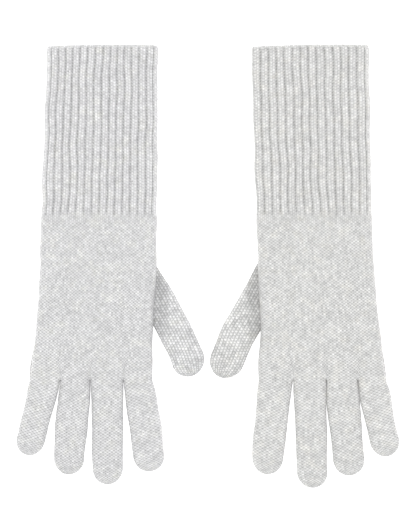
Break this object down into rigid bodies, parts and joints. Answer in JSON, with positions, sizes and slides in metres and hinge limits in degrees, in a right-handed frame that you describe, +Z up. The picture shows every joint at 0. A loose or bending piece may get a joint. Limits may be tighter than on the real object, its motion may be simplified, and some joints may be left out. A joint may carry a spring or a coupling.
{
  "type": "pair of knitted gloves",
  "caption": "Long fine-knit gloves in pale heathered yarn, laid flat palm down: deep ribbed cuffs, plain knit hands, fingers and thumbs that fold.",
  "frame": {"origin": "centre of the laid pair's outline, on the surface it lies on", "axes": "+Z up, out of the backs of the gloves; +Y from the fingers towards the cuffs; the right-hand glove is at -X and the left-hand glove at +X, thumbs towards each other"},
  "size_m": [0.2966, 0.3426, 0.0126],
  "materials": {
    "plain_knit": "matte heathered plain knit",
    "rib_knit": "matte heathered 2x2 rib knit",
    "welt_knit": "matte smooth rolled knit edge",
    "tack_yarn": "matte yarn"
  },
  "bodies": {
    "right_hand_body": {"right_hand": "plain_knit", "right_thumb_gusset": "plain_knit", "right_crotch_tack_little_ring": "tack_yarn", "right_crotch_tack_ring_middle": "tack_yarn", "right_crotch_tack_middle_index": "tack_yarn"},
    "right_cuff_body": {"right_ribbed_cuff": "rib_knit", "right_cuff_welt": "welt_knit"},
    "right_thumb_lower_body": {"right_thumb_lower": "plain_knit"},
    "right_thumb_tip_body": {"right_thumb_tip": "plain_knit"},
    "right_index_lower_body": {"right_index_lower": "plain_knit"},
    "right_index_tip_body": {"right_index_tip": "plain_knit"},
    "right_middle_lower_body": {"right_middle_lower": "plain_knit"},
    "right_middle_tip_body": {"right_middle_tip": "plain_knit"},
    "right_ring_lower_body": {"right_ring_lower": "plain_knit"},
    "right_ring_tip_body": {"right_ring_tip": "plain_knit"},
    "right_little_lower_body": {"right_little_lower": "plain_knit"},
    "right_little_tip_body": {"right_little_tip": "plain_knit"},
    "left_hand_body": {"left_hand": "plain_knit", "left_thumb_gusset": "plain_knit", "left_crotch_tack_little_ring": "tack_yarn", "left_crotch_tack_ring_middle": "tack_yarn", "left_crotch_tack_middle_index": "tack_yarn"},
    "left_cuff_body": {"left_ribbed_cuff": "rib_knit", "left_cuff_welt": "welt_knit"},
    "left_thumb_lower_body": {"left_thumb_lower": "plain_knit"},
    "left_thumb_tip_body": {"left_thumb_tip": "plain_knit"},
    "left_index_lower_body": {"left_index_lower": "plain_knit"},
    "left_index_tip_body": {"left_index_tip": "plain_knit"},
    "left_middle_lower_body": {"left_middle_lower": "plain_knit"},
    "left_middle_tip_body": {"left_middle_tip": "plain_knit"},
    "left_ring_lower_body": {"left_ring_lower": "plain_knit"},
    "left_ring_tip_body": {"left_ring_tip": "plain_knit"},
    "left_little_lower_body": {"left_little_lower": "plain_knit"},
    "left_little_tip_body": {"left_little_tip": "plain_knit"}
  },
  "joints": [
    {"name": "left_glove_lift", "type": "slide", "parent": "right_hand_body", "child": "left_hand_body", "axis": [0, 0, 1], "range_m": [0, 0.12]},
    {"name": "right_wrist_fold", "type": "hinge", "parent": "right_hand_body", "child": "right_cuff_body", "pos_m": [-0.08325, 0.03939, 0], "axis": [-1, 0, 0], "range_deg": [-18, 60]},
    {"name": "right_thumb_root_fold", "type": "hinge", "parent": "right_hand_body", "child": "right_thumb_lower_body", "pos_m": [-0.03133, -0.04001, 0], "axis": [0.8788, 0.4772, 0], "range_deg": [-15, 35]},
    {"name": "right_thumb_middle_fold", "type": "hinge", "parent": "right_thumb_lower_body", "child": "right_thumb_tip_body", "pos_m": [-0.02197, -0.05992, 0], "axis": [0.928, 0.3726, 0], "range_deg": [-15, 50]},
    {"name": "right_index_root_fold", "type": "hinge", "parent": "right_hand_body", "child": "right_index_lower_body", "pos_m": [-0.05435, -0.08901, 0], "axis": [1, 0, 0], "range_deg": [-18, 85]},
    {"name": "right_index_middle_fold", "type": "hinge", "parent": "right_index_lower_body", "child": "right_index_tip_body", "pos_m": [-0.04903, -0.12259, 0], "axis": [0.9912, 0.1326, 0], "range_deg": [-18, 90]},
    {"name": "right_middle_root_fold", "type": "hinge", "parent": "right_hand_body", "child": "right_middle_lower_body", "pos_m": [-0.0781, -0.08901, 0], "axis": [1, 0, 0], "range_deg": [-18, 85]},
    {"name": "right_middle_middle_fold", "type": "hinge", "parent": "right_middle_lower_body", "child": "right_middle_tip_body", "pos_m": [-0.07784, -0.12701, 0], "axis": [1, 0.007, 0], "range_deg": [-18, 90]},
    {"name": "right_ring_root_fold", "type": "hinge", "parent": "right_hand_body", "child": "right_ring_lower_body", "pos_m": [-0.10265, -0.08901, 0], "axis": [1, 0, 0], "range_deg": [-18, 85]},
    {"name": "right_ring_middle_fold", "type": "hinge", "parent": "right_ring_lower_body", "child": "right_ring_tip_body", "pos_m": [-0.10558, -0.12389, 0], "axis": [0.9965, -0.0837, 0], "range_deg": [-18, 90]},
    {"name": "right_little_root_fold", "type": "hinge", "parent": "right_hand_body", "child": "right_little_lower_body", "pos_m": [-0.12635, -0.08901, 0], "axis": [1, 0, 0], "range_deg": [-18, 85]},
    {"name": "right_little_middle_fold", "type": "hinge", "parent": "right_little_lower_body", "child": "right_little_tip_body", "pos_m": [-0.13281, -0.11677, 0], "axis": [0.974, -0.2266, 0], "range_deg": [-18, 90]},
    {"name": "left_wrist_fold", "type": "hinge", "parent": "left_hand_body", "child": "left_cuff_body", "pos_m": [0.08335, 0.03939, 0], "axis": [-1, 0, 0], "range_deg": [-18, 60]},
    {"name": "left_thumb_root_fold", "type": "hinge", "parent": "left_hand_body", "child": "left_thumb_lower_body", "pos_m": [0.02818, -0.04611, 0], "axis": [0.8746, -0.4848, 0], "range_deg": [-15, 35]},
    {"name": "left_thumb_middle_fold", "type": "hinge", "parent": "left_thumb_lower_body", "child": "left_thumb_tip_body", "pos_m": [0.01878, -0.066, 0], "axis": [0.93, -0.3676, 0], "range_deg": [-15, 50]},
    {"name": "left_index_root_fold", "type": "hinge", "parent": "left_hand_body", "child": "left_index_lower_body", "pos_m": [0.0528, -0.08901, 0], "axis": [1, 0, 0], "range_deg": [-18, 85]},
    {"name": "left_index_middle_fold", "type": "hinge", "parent": "left_index_lower_body", "child": "left_index_tip_body", "pos_m": [0.04893, -0.12279, 0], "axis": [0.9944, -0.1058, 0], "range_deg": [-18, 90]},
    {"name": "left_middle_root_fold", "type": "hinge", "parent": "left_hand_body", "child": "left_middle_lower_body", "pos_m": [0.07925, -0.08901, 0], "axis": [1, 0, 0], "range_deg": [-18, 85]},
    {"name": "left_middle_middle_fold", "type": "hinge", "parent": "left_middle_lower_body", "child": "left_middle_tip_body", "pos_m": [0.08018, -0.127, 0], "axis": [0.9997, 0.0244, 0], "range_deg": [-18, 90]},
    {"name": "left_ring_root_fold", "type": "hinge", "parent": "left_hand_body", "child": "left_ring_lower_body", "pos_m": [0.1045, -0.08901, 0], "axis": [1, 0, 0], "range_deg": [-18, 85]},
    {"name": "left_ring_middle_fold", "type": "hinge", "parent": "left_ring_lower_body", "child": "left_ring_tip_body", "pos_m": [0.10703, -0.12392, 0], "axis": [0.9957, 0.0924, 0], "range_deg": [-18, 90]},
    {"name": "left_little_root_fold", "type": "hinge", "parent": "left_hand_body", "child": "left_little_lower_body", "pos_m": [0.12745, -0.08901, 0], "axis": [1, 0, 0], "range_deg": [-18, 85]},
    {"name": "left_little_middle_fold", "type": "hinge", "parent": "left_little_lower_body", "child": "left_little_tip_body", "pos_m": [0.13327, -0.11691, 0], "axis": [0.9789, 0.2045, 0], "range_deg": [-18, 90]}
  ]
}
